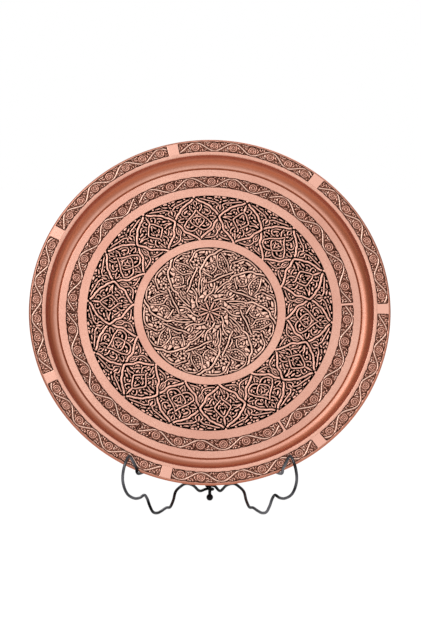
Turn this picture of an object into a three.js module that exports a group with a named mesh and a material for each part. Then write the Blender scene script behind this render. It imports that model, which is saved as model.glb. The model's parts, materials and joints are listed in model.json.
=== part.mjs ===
// A round copper presentation tray with a flat rim, standing on a folding wire easel.
// Two bent wire wings turn on an upright spindle. Each carries the rim in a cradle behind a hooked
// guard, rises behind the tray as a back rest, and closes in an eye round the spindle at both ends.
// Millimetres, +Z up. The tray faces -Y. The origin is on the ground under the middle of the whole.

import * as THREE from 'three';

// Tray
const FLOOR_RADIUS = 151;
const WALL_RUN = 13;
const RIM_WIDTH = 16;
const TRAY_SHEET = 1;
const WELL_DEPTH = 9.5;
const BEAD_RADIUS = 1.9;
const CURL_TURN_DEG = 275;
const EDGE_WIRE_RADIUS = 0.7;
const TRAY_LEAN_DEG = 22.9;

// Easel
const WIRE_RADIUS = 1.5;
const SPINDLE_RADIUS = 1.65;
const BALL_RADIUS = 3.5;
const BALL_FLAT_RADIUS = 1.2;
const STEM_HEIGHT = 3.4;
const BORE_DEPTH = 3.5;
const WING_OPENING_DEG = 30;
const EYE_WRAP_DEG = 260;
const SEAT_HEIGHT = 45.6;
const TRAY_BACK_REACH = 105.8;
const BACK_REST_TOP = 188;
const UPPER_EYE_HEIGHT = 203;

// Clearances
const SEAT_CLEARANCE = 0.3;
const EYE_CLEARANCE = 0.15;
const EYE_SPACING = 0.4;
const BORE_CLEARANCE = 0.1;

// Facets
const TRAY_SIDES = 72;
const WIRE_SIDES = 8;
const ROUND_SIDES = 16;
const RINGS_PER_BEND = 2;

// The guard's bends, each by its distance out from the spindle and its height
const GUARD_BENDS = [
  [15, 11.7],
  [28, 19.1],
  [43, 22.9],
  [53.3, 21.4],
  [62.7, 17.5],
  [67.1, 9.7],
  [73.3, 3.8],
  [80.7, 4.1],
  [90, 2.3],
  [97.9, 1.5],
  [106, 3.6],
  [112.1, 10.3],
  [117.7, 19.2],
  [122.3, 22.9],
  [131, 21.5],
  [141.4, 22.5],
  [155.1, 29.5],
  [162.6, 43.2],
  [159.4, 56.7],
  [150.5, 65.3],
  [144.4, 60.2],
];

// The scroll that leads from the back rest's top to the upper eye, as distance out and rise over the eye
const SCROLL_BENDS = [
  [39, 3],
  [31, 7.5],
  [20, 6.5],
  [11, 1.5],
];

const lean = THREE.MathUtils.degToRad(TRAY_LEAN_DEG);
const opening = THREE.MathUtils.degToRad(WING_OPENING_DEG);
const eyeRadius = SPINDLE_RADIUS + EYE_CLEARANCE + WIRE_RADIUS;
const eyePitch = 2 * WIRE_RADIUS + EYE_SPACING;
const ballCentre = Math.sqrt(BALL_RADIUS ** 2 - BALL_FLAT_RADIUS ** 2);
const boreRadius = SPINDLE_RADIUS + BORE_CLEARANCE;
const boreMouth = ballCentre + Math.sqrt(BALL_RADIUS ** 2 - boreRadius ** 2);
const boreFloor = boreMouth - BORE_DEPTH;
const lowerEyeHeight = ballCentre + BALL_RADIUS + STEM_HEIGHT + WIRE_RADIUS;
const rimInnerRadius = FLOOR_RADIUS + WALL_RUN;
const trayRadius = rimInnerRadius + RIM_WIDTH;
const beadCircleRadius = trayRadius - BEAD_RADIUS;
const beadCentreHeight = WELL_DEPTH - BEAD_RADIUS;
const cradleReach = BEAD_RADIUS + SEAT_CLEARANCE + WIRE_RADIUS;

const copper = { color: 0xc98a70, roughness: 0.35, metalness: 1 };
const iron = { color: 0x6f6a66, roughness: 0.5, metalness: 1 };
const blackPaint = { color: 0x17171a, roughness: 0.3, metalness: 0.4 };

function named(name, geometry, finish) {
  const mesh = new THREE.Mesh(geometry, new THREE.MeshStandardMaterial(finish));
  mesh.name = name;
  return mesh;
}

// Points on an arc, from one angle to another in degrees, both ends included
function arcPoints(centreX, centreY, radius, fromDeg, toDeg, steps) {
  const points = [];
  for (let i = 0; i <= steps; i += 1) {
    const angle = THREE.MathUtils.degToRad(fromDeg + ((toDeg - fromDeg) * i) / steps);
    points.push(new THREE.Vector2(centreX + radius * Math.cos(angle), centreY + radius * Math.sin(angle)));
  }
  return points;
}

// The wall's face sweeps up from the floor and over to the rim, and its back keeps a sheet's distance
function wallPoints(depthBehindFace) {
  const face = new THREE.CubicBezierCurve(
    new THREE.Vector2(FLOOR_RADIUS, 0),
    new THREE.Vector2(FLOOR_RADIUS + 0.6 * WALL_RUN, 0),
    new THREE.Vector2(FLOOR_RADIUS + 0.55 * WALL_RUN, WELL_DEPTH),
    new THREE.Vector2(rimInnerRadius, WELL_DEPTH),
  );
  const steps = 7;
  const points = [];
  for (let i = 0; i <= steps; i += 1) {
    const tangent = face.getTangent(i / steps);
    const behind = new THREE.Vector2(tangent.y, -tangent.x).multiplyScalar(depthBehindFace);
    points.push(face.getPoint(i / steps).add(behind));
  }
  return points;
}

// One sheet: floor, wall and rim, with the edge curled under round its wire
function trayBodyGeometry() {
  const front = [new THREE.Vector2(0, 0), ...wallPoints(0)];
  const back = [new THREE.Vector2(0, -TRAY_SHEET), ...wallPoints(TRAY_SHEET)];
  const curlStart = 90;
  const curlEnd = curlStart - CURL_TURN_DEG;
  const outside = arcPoints(beadCircleRadius, beadCentreHeight, BEAD_RADIUS, curlStart, curlEnd, 8);
  const inside = arcPoints(
    beadCircleRadius,
    beadCentreHeight,
    BEAD_RADIUS - TRAY_SHEET,
    curlEnd,
    curlStart,
    7,
  );
  const profile = [...front, ...outside, ...inside, ...back.reverse()];
  return new THREE.LatheGeometry(profile.reverse(), TRAY_SIDES);
}

function edgeWireGeometry() {
  const section = arcPoints(beadCircleRadius, beadCentreHeight, EDGE_WIRE_RADIUS, 0, 360, WIRE_SIDES);
  return new THREE.LatheGeometry(section, TRAY_SIDES);
}

// A ball with a flat on its underside and a blind bore in its top, resting on the ground
function ballGeometry() {
  const flatAngle = -THREE.MathUtils.radToDeg(Math.acos(BALL_FLAT_RADIUS / BALL_RADIUS));
  const mouthAngle = THREE.MathUtils.radToDeg(Math.acos(boreRadius / BALL_RADIUS));
  const profile = [
    new THREE.Vector2(0, 0),
    ...arcPoints(0, ballCentre, BALL_RADIUS, flatAngle, mouthAngle, 8),
    new THREE.Vector2(boreRadius, boreFloor),
    new THREE.Vector2(0, boreFloor),
  ];
  return new THREE.LatheGeometry(profile, ROUND_SIDES);
}

// A wire that passes through each of its bends, with its rings as close together as its bends are
class BentWire extends THREE.CatmullRomCurve3 {
  getPointAt(share) {
    return this.getPoint(share);
  }

  getTangentAt(share) {
    return this.getTangent(share);
  }
}

function wireGeometry(bends) {
  const section = new THREE.Shape().setFromPoints(arcPoints(0, 0, WIRE_RADIUS, 0, 360, WIRE_SIDES));
  return new THREE.ExtrudeGeometry(section, {
    extrudePath: new BentWire(bends, false, 'centripetal'),
    steps: RINGS_PER_BEND * (bends.length - 1),
  });
}

// A wing stands in an upright plane that touches the eye circle. side is 1 on the right and -1 on the left.
function wingPoint(side, out, height) {
  const across = out * Math.sin(opening) + eyeRadius * Math.cos(opening);
  const forward = out * Math.cos(opening) - eyeRadius * Math.sin(opening);
  return new THREE.Vector3(side * across, -forward, height);
}

// The distance out along a wing to a place that is a given distance forward of the spindle
function outFromForward(forward) {
  return (forward + eyeRadius * Math.sin(opening)) / Math.cos(opening);
}

// How far forward of the spindle the tray's flat back is at a height
function backForward(height) {
  return TRAY_BACK_REACH - (height - SEAT_HEIGHT) * Math.tan(lean);
}

// Where the leaning bead crosses the wings: its centre there, and the tray's place on its back plane.
// The seats run level under the bead, so the lift from seat to bead follows from the two directions.
function seatedBead() {
  const offBack = TRAY_SHEET + beadCentreHeight;
  let lift = cradleReach;
  let turn = 0;
  let alongBack = 0;
  let forward = 0;
  for (let round = 0; round < 12; round += 1) {
    alongBack = (lift - offBack * Math.sin(lean)) / Math.cos(lean);
    forward = TRAY_BACK_REACH - alongBack * Math.sin(lean) + offBack * Math.cos(lean);
    turn = Math.asin(wingPoint(1, outFromForward(forward), 0).x / beadCircleRadius);
    const along = new THREE.Vector3(
      Math.cos(turn),
      Math.sin(turn) * Math.sin(lean),
      Math.sin(turn) * Math.cos(lean),
    );
    const seat = new THREE.Vector3(Math.sin(opening), -Math.cos(opening), 0);
    const across = along.cross(seat);
    lift = (cradleReach * across.length()) / Math.abs(across.z);
  }
  return {
    out: outFromForward(forward),
    height: SEAT_HEIGHT + lift,
    alongBack: alongBack + beadCircleRadius * Math.cos(turn),
  };
}

const bead = seatedBead();

// The middle of the floor's face
const trayHeight = SEAT_HEIGHT + bead.alongBack * Math.cos(lean) + TRAY_SHEET * Math.sin(lean);
const trayForward = TRAY_BACK_REACH - bead.alongBack * Math.sin(lean) + TRAY_SHEET * Math.cos(lean);

// An eye, wound back from where the wire touches the spindle's circle
function eyePoints(side, height) {
  const steps = 9;
  const points = [];
  for (let i = 1; i <= steps; i += 1) {
    const angle = (-THREE.MathUtils.degToRad(EYE_WRAP_DEG) * i) / steps;
    const out = eyeRadius * Math.sin(angle);
    const off = eyeRadius * (Math.cos(angle) - 1);
    const onWing = wingPoint(side, out, height);
    const sideways = new THREE.Vector3(side * Math.cos(opening), Math.sin(opening), 0);
    points.push(onWing.addScaledVector(sideways, off));
  }
  return points;
}

// The cradle bends from the guard's foot under the bead, and on to the level seat behind it
function cradleBends() {
  const reach = bead.height - SEAT_HEIGHT;
  const lip = arcPoints(bead.out, bead.height, reach, 10, -90, 3);
  return lip.map((point) => [point.x, point.y]);
}

// The back rest stands against the tray's flat back, from the seat's rounded corner to its top
function backRestBends() {
  const behind = (WIRE_RADIUS + SEAT_CLEARANCE) / Math.cos(lean);
  const outAt = (height) => outFromForward(backForward(height) - behind);
  const corner = outAt(SEAT_HEIGHT);
  const cornerRadius = 6;
  const straight = [SEAT_HEIGHT + cornerRadius, SEAT_HEIGHT + 2 * cornerRadius, BACK_REST_TOP - cornerRadius];
  const heights = [straight[0], straight[1], (straight[1] + straight[2]) / 2, straight[2], BACK_REST_TOP];
  return [
    [corner + cornerRadius, SEAT_HEIGHT],
    [corner + cornerRadius / 4, SEAT_HEIGHT + cornerRadius / 8],
    ...heights.map((height) => [outAt(height), height]),
  ];
}

// One wire, from its lower eye round the guard, cradle and back rest to its upper eye
function wingGeometry(side, eyeLift) {
  const lower = lowerEyeHeight + eyeLift;
  const upper = UPPER_EYE_HEIGHT + eyeLift;
  const scroll = SCROLL_BENDS.map(([out, rise]) => [out, upper + rise]);
  const flat = [
    [0, lower],
    [eyeRadius + WIRE_RADIUS, lower],
    ...GUARD_BENDS,
    ...cradleBends(),
    ...backRestBends(),
    ...scroll,
    [eyeRadius + WIRE_RADIUS, upper],
    [0, upper],
  ];
  const bends = [
    ...eyePoints(side, lower).reverse(),
    ...flat.map(([out, height]) => wingPoint(side, out, height)),
    ...eyePoints(side, upper),
  ];
  return wireGeometry(bends);
}

const whole = new THREE.Group();

// The tray's own axis, the lathe's Y, turns to face forward and up
const tray = new THREE.Group();
tray.rotation.x = Math.PI - lean;
tray.position.set(0, -trayForward, trayHeight);
tray.add(named('tray_body', trayBodyGeometry(), copper));
tray.add(named('rim_edge_wire', edgeWireGeometry(), iron));
whole.add(tray);

whole.add(named('left_wing', wingGeometry(-1, 0), blackPaint));
whole.add(named('right_wing', wingGeometry(1, eyePitch), blackPaint));

// The spindle stands in the foot ball's bore, and the finial sits on its top as the same ball upside down
const spindleFoot = boreFloor + BORE_CLEARANCE;
const finialTop = UPPER_EYE_HEIGHT + eyePitch + WIRE_RADIUS + EYE_SPACING + BALL_RADIUS + ballCentre;
const spindleTop = finialTop - spindleFoot;
const spindleLength = spindleTop - spindleFoot;
const spindleShape = new THREE.CylinderGeometry(SPINDLE_RADIUS, SPINDLE_RADIUS, spindleLength, ROUND_SIDES);
const spindle = named('spindle', spindleShape, blackPaint);
spindle.rotation.x = Math.PI / 2;
spindle.position.z = (spindleFoot + spindleTop) / 2;
whole.add(spindle);

const footBall = named('foot_ball', ballGeometry(), blackPaint);
footBall.rotation.x = Math.PI / 2;
whole.add(footBall);

const finialBall = named('finial_ball', ballGeometry(), blackPaint);
finialBall.rotation.x = -Math.PI / 2;
finialBall.position.z = finialTop;
whole.add(finialBall);

// The spindle moves back until the origin is under the middle of the whole
const extent = new THREE.Box3().setFromObject(whole, true);
whole.position.y = -(extent.min.y + extent.max.y) / 2;
whole.updateMatrixWorld(true);

export default whole;
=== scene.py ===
"""Looks of a round copper presentation tray on a folding wire easel, dressed over its fixed frame.

The tray is a spun sheet with pockets for its chased plates: a whirl rosette, a band of medallions and
two vine borders. Each plate is drawn stroke by stroke on a fine height map, as a chaser works, made a
thin closed tile, and stamped round the tray. Lengths are in millimetres until a mesh is made.
"""

import json
import math

import bpy
import numpy as np
from mathutils import Matrix, Vector


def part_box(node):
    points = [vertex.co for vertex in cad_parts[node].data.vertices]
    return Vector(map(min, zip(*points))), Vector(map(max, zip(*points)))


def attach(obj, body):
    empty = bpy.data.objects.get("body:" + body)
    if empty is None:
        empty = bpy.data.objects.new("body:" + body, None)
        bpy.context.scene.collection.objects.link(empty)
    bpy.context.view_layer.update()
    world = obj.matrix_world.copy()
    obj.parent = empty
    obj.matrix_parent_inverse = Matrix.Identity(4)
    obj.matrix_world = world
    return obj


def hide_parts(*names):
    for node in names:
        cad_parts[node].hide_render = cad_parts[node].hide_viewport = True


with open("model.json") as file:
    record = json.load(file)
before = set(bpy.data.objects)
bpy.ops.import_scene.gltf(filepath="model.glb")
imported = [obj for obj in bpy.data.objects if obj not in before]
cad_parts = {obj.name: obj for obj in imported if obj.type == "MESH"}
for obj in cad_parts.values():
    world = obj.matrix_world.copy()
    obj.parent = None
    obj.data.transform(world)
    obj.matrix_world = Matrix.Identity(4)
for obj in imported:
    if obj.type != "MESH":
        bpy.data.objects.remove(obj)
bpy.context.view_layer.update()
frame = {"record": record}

MM = 0.001
WELD = 0.002 * MM

# Tray, by radius from its centre and height over the floor's face
ROSETTE_RADIUS = 67.7
BAND_INNER, BAND_OUTER = 75.7, 122.9
BORDER_INNER, BORDER_OUTER = 131.5, 143.7
GROOVE_RADIUS, GROOVE_WIDTH, GROOVE_DEPTH = 151.4, 1.3, 0.4
WALL_FOOT, RIM_INNER = 151.0, 163.0
RIM_BAND_INNER, RIM_BAND_OUTER = 166.6, 177.9
WELL_DEPTH = 9.5
# The curve that makes the wall's cove, by shares of its run and height
COVE = [(0, 0), (0.62, 0), (0.9, 0.42), (0.985, 0.93)]
# How it rounds into the rim: distances past the rim's start, and shares of the height
LIP = [(0.25, 0.985), (0.8, 1)]
SHEET = 1.0
BEAD_RADIUS = 1.9
# The rolled edge in degrees: where it leaves the rim, and how far it turns
BEAD_START, CURL_TURN = 84, 275
EDGE_WIRE_RADIUS = 0.7
POCKET_DEPTH, PLATE_THICKNESS, PLATE_GAP = 0.8, 0.78, 0.02
POCKET_EDGE = 0.12
TRAY_SIDES = 360

# Easel
WIRE_RADIUS = 1.5
# Sides of a wire's section, and how far apart its points lie along it
WIRE_SIDES, WIRE_PITCH = 20, 0.8
# Where a wire is cut, it narrows over this length to this share of its girth
END_ROUNDING, END_GIRTH = 0.6, 0.5
SPINDLE_RADIUS, SPINDLE_CHAMFER = 1.65, 0.3
BALL_RADIUS, BALL_FLAT_RADIUS = 3.5, 1.2
BALL_MIDDLE = math.sqrt(BALL_RADIUS ** 2 - BALL_FLAT_RADIUS ** 2)
BALL_SIDES = 48
STEM_HEIGHT, BORE_DEPTH, BORE_CLEARANCE = 3.4, 3.5, 0.1
EYE_CLEARANCE, EYE_SPACING, SEAT_CLEARANCE = 0.15, 0.4, 0.3
EYE_RADIUS = SPINDLE_RADIUS + EYE_CLEARANCE + WIRE_RADIUS
EYE_WRAP = math.radians(260)
# A wing stands in an upright plane that touches the circle its eyes' wire runs on
WING_OPENING = math.radians(30)
WING_ALONG = np.array((math.sin(WING_OPENING), -math.cos(WING_OPENING), 0))
WING_SIDE = np.array((math.cos(WING_OPENING), math.sin(WING_OPENING), 0))
SEAT_HEIGHT, BACK_REST_TOP, UPPER_EYE_HEIGHT = 45.6, 188.0, 203.0
# How far from its corners the back rest's wire starts to bend
REST_BEND = 6
# Bends of the foot and guard, out along the wing and up from the ground
GUARD_BENDS = [
    (15, 11.7), (28, 19.1), (43, 22.9), (53.3, 21.4), (62.7, 17.5), (67.1, 9.7), (73.3, 3.8),
    (80.7, 4.1), (90, 2.3), (97.9, 1.5), (106, 3.6), (112.1, 10.3), (117.7, 19.2), (122.3, 22.9),
    (131, 21.5), (141.4, 22.5), (155.1, 29.5), (162.6, 43.2), (159.4, 56.7), (150.5, 65.3), (144.4, 60.2),
]
# Bends of the scroll at the top, out along the wing and up from the upper eye
SCROLL_BENDS = [(39, 3), (31, 7.5), (20, 6.5), (11, 1.5)]

# Places from the frame
mounts = {mount["name"]: mount for mount in frame["record"]["mounts"]}
floor_centre = Vector(mounts["serving_floor"]["pos_m"])
tray_out = Vector(mounts["serving_floor"]["axis"]).normalized()
tray_right = Vector((1, 0, 0))
tray_turn = Matrix((tray_right, tray_out.cross(tray_right), tray_out)).transposed()
tray_matrix = Matrix.Translation(floor_centre) @ tray_turn.to_4x4()
spindle_foot = Vector(mounts["rear_foot"]["pos_m"])
TRAY_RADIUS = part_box("tray_body")[1].x / MM
scene = bpy.context.scene


# Geometry trees

class Nodes:
    """A node tree and short ways to build it. feeds gives inputs values or other nodes' outputs."""

    def __init__(self, net):
        self.net = net

    def node(self, kind, feeds=None, **settings):
        made = self.net.nodes.new(kind)
        for name, value in settings.items():
            setattr(made, name, value)
        for key, value in (feeds or {}).items():
            if isinstance(value, bpy.types.NodeSocket):
                self.net.links.new(value, made.inputs[key])
            else:
                made.inputs[key].default_value = value
        return made.outputs

    def math(self, operation, a, b=0.0):
        return self.node("ShaderNodeMath", {0: a, 1: b}, operation=operation)[0]

    def between(self, value, low, high, first=0.0, last=1.0):
        """Takes low to high to first to last, and holds those beyond them."""
        return self.node("ShaderNodeMapRange", {
            "Value": value, "From Min": low, "From Max": high, "To Min": first, "To Max": last
        })[0]

    def seen_ray(self, *kinds):
        """1 for the kinds of ray named, and 0 for the rest."""
        path = self.node("ShaderNodeLightPath")
        seen = path[kinds[0]]
        for kind in kinds[1:]:
            seen = self.math("MAXIMUM", seen, path[kind])
        return seen


class Tree(Nodes):
    """A geometry tree with named inputs for its sizes."""

    def __init__(self, name, **inputs):
        super().__init__(bpy.data.node_groups.new(name, "GeometryNodeTree"))
        face = self.net.interface
        face.new_socket("Geometry", in_out="OUTPUT", socket_type="NodeSocketGeometry")
        for label, kind in {"Geometry": "Geometry", **inputs}.items():
            face.new_socket(label, in_out="INPUT", socket_type="NodeSocket" + kind)
        self.start = self.node("NodeGroupInput")

    def close(self, geometry, crease=0.6):
        """Real meshes with smooth faces, creased where they turn sharply, in the piece's material."""
        real = self.node("GeometryNodeRealizeInstances", {0: geometry})[0]
        smooth = self.node("GeometryNodeSetShadeSmooth", {0: real})[0]
        angle = self.node("GeometryNodeInputMeshEdgeAngle")[0]
        sharp = self.node("FunctionNodeCompare", {0: angle, 1: crease}, operation="GREATER_THAN")[0]
        creased = self.node(
            "GeometryNodeSetShadeSmooth", {0: smooth, 1: sharp, "Shade Smooth": False}, domain="EDGE"
        )[0]
        painted = self.node("GeometryNodeSetMaterial", {0: creased, "Material": self.start["Material"]})[0]
        self.node("NodeGroupOutput", {0: painted})
        return self.net


def spun_tree():
    """Turns a profile, drawn from the axis outwards and back, once round the axis Z."""
    tree = Tree("spun_round", Sides="Int", Material="Material")
    profile = tree.start["Geometry"]
    count = tree.node("GeometryNodeAttributeDomainSize", {0: profile})[0]
    columns = tree.math("ADD", tree.start["Sides"], 1.0)
    sheet = tree.node("GeometryNodeMeshGrid", {"Vertices X": columns, "Vertices Y": count})[0]
    index = tree.node("GeometryNodeInputIndex")[0]
    column = tree.math("FLOOR", tree.math("DIVIDE", tree.math("ADD", index, 0.5), count))
    row = tree.math("SUBTRACT", index, tree.math("MULTIPLY", column, count))
    place = tree.node("GeometryNodeInputPosition")[0]
    drawn = tree.node(
        "GeometryNodeSampleIndex", {0: profile, "Value": place, "Index": row}, data_type="FLOAT_VECTOR"
    )[0]
    radius, _, height = tree.node("ShaderNodeSeparateXYZ", {0: drawn})
    turn = tree.math("DIVIDE", tree.math("MULTIPLY", column, 2 * math.pi), tree.start["Sides"])
    across = tree.math("MULTIPLY", radius, tree.math("COSINE", turn))
    along = tree.math("MULTIPLY", radius, tree.math("SINE", turn))
    where = tree.node("ShaderNodeCombineXYZ", {0: across, 1: along, 2: height})[0]
    turned = tree.node("GeometryNodeSetPosition", {0: sheet, "Position": where})[0]
    closed = tree.node("GeometryNodeMergeByDistance", {0: turned, "Distance": WELD})[0]
    return tree.close(closed)


def rod_tree():
    """A round rod along a bent line, closed at its ends, which the line's girth attribute rounds off."""
    tree = Tree("bent_rod", Radius="Float", Sides="Int", Material="Material")
    line = tree.node("GeometryNodeMeshToCurve", {0: tree.start["Geometry"]})[0]
    section = tree.node("GeometryNodeCurvePrimitiveCircle", {
        "Resolution": tree.start["Sides"], "Radius": tree.start["Radius"]
    })[0]
    girth = tree.node("GeometryNodeInputNamedAttribute", {"Name": "girth"}, data_type="FLOAT")[0]
    return tree.close(tree.node("GeometryNodeCurveToMesh", {
        0: line, "Profile Curve": section, "Scale": girth, "Fill Caps": True
    })[0])


def stamp_tree():
    """Repeats a tile round the axis Z, joins the copies to each other and closes the two ends."""
    tree = Tree(
        "stamped_round", Count="Int", First="Float", Step="Float", Start_cap="Object", End_cap="Object",
        Material="Material",
    )
    count, first, step = (tree.start[label] for label in ("Count", "First", "Step"))

    def turned(angle):
        spin = tree.node("ShaderNodeCombineXYZ", {2: angle})[0]
        return tree.node("FunctionNodeEulerToRotation", {0: spin})[0]

    spots = tree.node("GeometryNodePoints", {"Count": count})[0]
    index = tree.node("GeometryNodeInputIndex")[0]
    each = turned(tree.math("ADD", first, tree.math("MULTIPLY", index, step)))
    last = tree.math("ADD", first, tree.math("MULTIPLY", count, step))
    joined = tree.net.nodes.new("GeometryNodeJoinGeometry")
    copies = tree.node("GeometryNodeInstanceOnPoints", {
        0: spots, "Instance": tree.start["Geometry"], "Rotation": each
    })[0]
    tree.net.links.new(copies, joined.inputs[0])
    for label, angle in (("Start_cap", first), ("End_cap", last)):
        cap = tree.node("GeometryNodeObjectInfo", {0: tree.start[label]})["Geometry"]
        placed = tree.node("GeometryNodeTransform", {0: cap, "Rotation": turned(angle)})[0]
        tree.net.links.new(placed, joined.inputs[0])
    real = tree.node("GeometryNodeRealizeInstances", {0: joined.outputs[0]})[0]
    welded = tree.node("GeometryNodeMergeByDistance", {0: real, "Distance": WELD})[0]
    return tree.close(welded, crease=1.2)


def mesh_of(name, points, faces=(), edges=()):
    """A mesh from points in millimetres."""
    mesh = bpy.data.meshes.new(name)
    mesh.from_pydata(np.asarray(points, float) * MM, edges, faces)
    mesh.update()
    return mesh


def line_mesh(name, points):
    """An open line through points, for a tree to turn or to follow."""
    return mesh_of(name, points, edges=[(i, i + 1) for i in range(len(points) - 1)])


def set_values(mesh, label, values):
    """Gives each of a mesh's points a value for a tree or a material to read."""
    mesh.attributes.new(label, "FLOAT", "POINT").data.foreach_set("value", np.array(values, np.float32))


def add_object(name, data):
    """A new object in the scene, at the origin."""
    made = bpy.data.objects.new(name, data)
    scene.collection.objects.link(made)
    return made


def grow(name, start, tree, body, slot, matrix=None, replaces=(), **inputs):
    """Runs a tree on a starting mesh, keeps the result as a plain piece and sets it in its place."""
    worker = add_object(name + "_start", start)
    modifier = worker.modifiers.new("tree", "NODES")
    modifier.node_group = tree
    for item in tree.interface.items_tree:
        if item.in_out == "INPUT" and item.name in inputs:
            modifier[item.identifier] = inputs[item.name]
    graph = bpy.context.evaluated_depsgraph_get()
    mesh = bpy.data.meshes.new_from_object(worker.evaluated_get(graph), depsgraph=graph)
    bpy.data.objects.remove(worker)
    if matrix is not None:
        mesh.transform(matrix)
    piece = add_object(name, mesh)
    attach(piece, body)
    if replaces:
        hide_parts(*replaces)
    return piece


SPUN, BENT, STAMPED = spun_tree(), rod_tree(), stamp_tree()


def turn_piece(name, outline, body, slot, matrix, node, sides, material):
    """Turns an outline of radii and heights into a piece that stands for a node of the frame."""
    profile = line_mesh(name + "_profile", [(radius, 0, height) for radius, height in outline])
    grow(name, profile, SPUN, body, slot, matrix, replaces=[node], Sides=sides, Material=material)


# Materials

class Finish(Nodes):
    """A procedural material on Object coordinates."""

    def __init__(self, name, metallic, roughness):
        self.material = bpy.data.materials.new(name)
        self.material.use_nodes = True
        super().__init__(self.material.node_tree)
        self.shader = self.net.nodes["Principled BSDF"]
        self.shader.inputs["Metallic"].default_value = metallic
        self.shader.inputs["Roughness"].default_value = roughness
        self.place = self.node("ShaderNodeTexCoord")["Object"]

    def by_radius(self, values):
        """A value that changes with distance from the tray's axis, from pairs of radius and value."""
        turned = self.node("ShaderNodeMapping", {
            "Vector": self.place, "Location": tuple(floor_centre),
            "Rotation": tuple(tray_matrix.to_euler()),
        }, vector_type="TEXTURE")[0]
        flat = self.node("ShaderNodeVectorMath", {0: turned, 1: (1, 1, 0)}, operation="MULTIPLY")[0]
        radius = self.node("ShaderNodeVectorMath", {0: flat}, operation="LENGTH")["Value"]
        first, last = values[0][0], values[-1][0]
        ramp = self.net.nodes.new("ShaderNodeValToRGB")
        self.net.links.new(self.between(radius, first * MM, last * MM), ramp.inputs[0])
        stops = ramp.color_ramp.elements
        for _ in values[2:]:
            stops.new(0.5)
        for stop, (radius, value) in zip(stops, values):
            stop.position = (radius - first) / (last - first)
            stop.color = (value, value, value, 1)
        return ramp.outputs[0]

    def noise(self, scale, detail=2.0):
        """Cloudy variation. scale is the number of clouds in a metre."""
        return self.node("ShaderNodeTexNoise", {"Vector": self.place, "Scale": scale, "Detail": detail})[0]

    def spread(self, value, low, high):
        """Takes 0 to 1 to low to high."""
        return self.between(value, 0.0, 1.0, low, high)

    def mix(self, share, first, second):
        return self.node("ShaderNodeMix", {0: share, 6: first, 7: second}, data_type="RGBA")[2]

    def tint(self, noise, low, high, first, second):
        """Drifts between two colours with a noise, which is spread to low to high."""
        return self.mix(self.spread(noise, low, high), first, second)

    def feed(self, label, value):
        self.net.links.new(value, self.shader.inputs[label])

    def bump(self, value, distance, strength):
        raised = {"Height": value, "Distance": distance, "Strength": strength}
        self.feed("Normal", self.node("ShaderNodeBump", raised)[0])


def colour(red, green, blue):
    """A linear colour from the 0 to 255 values that it shows as."""
    def linear(value):
        share = value / 255
        return share / 12.92 if share <= 0.04045 else ((share + 0.055) / 1.055) ** 2.4
    return (linear(red), linear(green), linear(blue), 1.0)


PLAIN_COPPER = colour(228, 173, 154)
# Height of a chased plate's uncut face; above it the strokes' tops are painted brighter, a painted
# highlight
PLAIN_HEIGHT = 0.88
# Distances to both sides of the spindle over which the painted shade near it gives way to painted sheen
SPINDLE_SHADE_REACH = 25, 55
# How much painted shade the copper gets at each radius of the tray: the groove, the wall and the rolled
# edge
PAINTED_SHADE_BY_RADIUS = [(150.3, 0), (150.8, 1), (152.1, 1), (152.8, 0.15), (154.5, 0.25), (156.6, 0.8), (159.4, 1),
           (161.2, 0.75), (162.9, 0.5), (163.5, 0.1), (164.5, 0), (177.8, 0), (178.4, 0.5), (180, 1)]
# Painted shade, darker still, down in the groove
GROOVE_PAINTED_SHADE = [(150.5, 0), (151, 0.4), (152.2, 0.4), (152.9, 0)]


def satin_copper():
    """Blasted and lightly rubbed copper, with a fine grain and cloudy tint, and painted shade in the
    groove, on the wall and on the rolled edge.
    """
    finish = Finish("satin_copper", 1.0, 0.42)
    clouds = finish.noise(16.0, 3.0)
    grain = finish.noise(850.0, 3.0)
    plain = finish.tint(clouds, -0.4, 1.4, colour(214, 157, 139), colour(241, 191, 171))
    plain = finish.tint(grain, -0.5, 1.0, plain, colour(196, 137, 117))
    # Painted shade: a darker, redder copper tone on the wall, in the groove and on the rolled edge
    painted_shade = finish.tint(grain, -0.2, 1.2, colour(166, 88, 60), colour(194, 112, 80))
    shaded = finish.mix(finish.by_radius(PAINTED_SHADE_BY_RADIUS), plain, painted_shade)
    # Painted shade, darkest down in the groove
    finish.feed("Base Color", finish.mix(finish.by_radius(GROOVE_PAINTED_SHADE), shaded, colour(96, 46, 31)))
    finish.feed("Roughness", finish.spread(clouds, 0.36, 0.46))
    finish.bump(grain, 0.01 * MM, 0.6)
    return finish.material


def chased_copper(name, ground, middle, face, edges):
    """Chased copper, blackened in its cut ground, with painted highlight on its faces: the tops of its
    strokes are painted brighter than the plain sheet, in random patches.

    The edges are the heights between which the ground turns to the middle tone and that to the face.
    """
    finish = Finish(name, 1.0, 0.4)
    ground, middle, face = colour(*ground), colour(*middle), colour(*face)
    dull = tuple(channel * 0.5 for channel in face[:3]) + (1.0,)
    relief = finish.node("ShaderNodeAttribute", attribute_name="relief")["Fac"]
    # Painted highlight: strokes' tops above the plain sheet's height are painted towards the bright face
    # colour, in random dull and bright patches
    rubbed = finish.noise(330.0, 3.0)
    glinting_face = finish.tint(rubbed, -0.55, 1.9, dull, face)
    glinting_face = finish.mix(finish.between(relief, PLAIN_HEIGHT, 1.0), PLAIN_COPPER, glinting_face)
    lower, upper = (finish.between(relief, *edge) for edge in edges)
    finish.feed("Base Color", finish.mix(upper, finish.mix(lower, ground, middle), glinting_face))
    finish.feed("Roughness", finish.spread(upper, 0.6, 0.32))
    finish.bump(finish.noise(2600.0), 0.03 * MM, 0.4)
    return finish.material


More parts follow.
